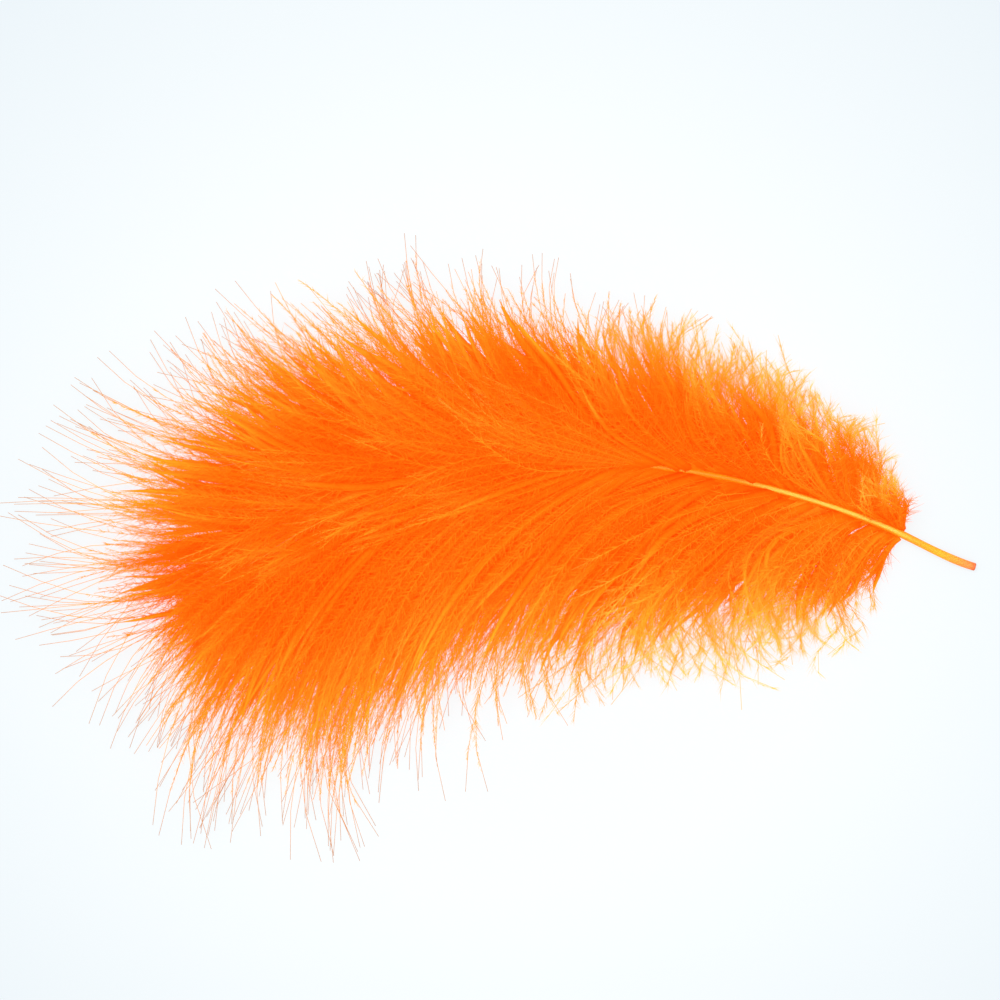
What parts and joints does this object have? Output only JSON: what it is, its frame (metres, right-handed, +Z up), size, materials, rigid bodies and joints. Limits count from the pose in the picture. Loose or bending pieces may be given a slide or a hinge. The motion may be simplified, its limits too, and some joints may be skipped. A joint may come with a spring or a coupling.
{
  "type": "marabou feather",
  "caption": "Soft curved down plume with a bare cut quill, fluffy locks along both sides of the shaft and fine loose barb tips, lying on a flat surface.",
  "frame": {"origin": "centre of the bounding box in plan, on the surface that the feather lies on", "axes": "+X along the feather's length, towards the cut end of the quill; +Y across the vane, towards the side the shaft bows to; +Z up from the surface"},
  "size_m": [0.1618, 0.0956, 0.015],
  "materials": {
    "down": "soft, matt, slightly translucent dyed down",
    "quill": "smooth, satin, translucent dyed keratin"
  },
  "bodies": {
    "root": {"feather": "down"}
  },
  "joints": []
}
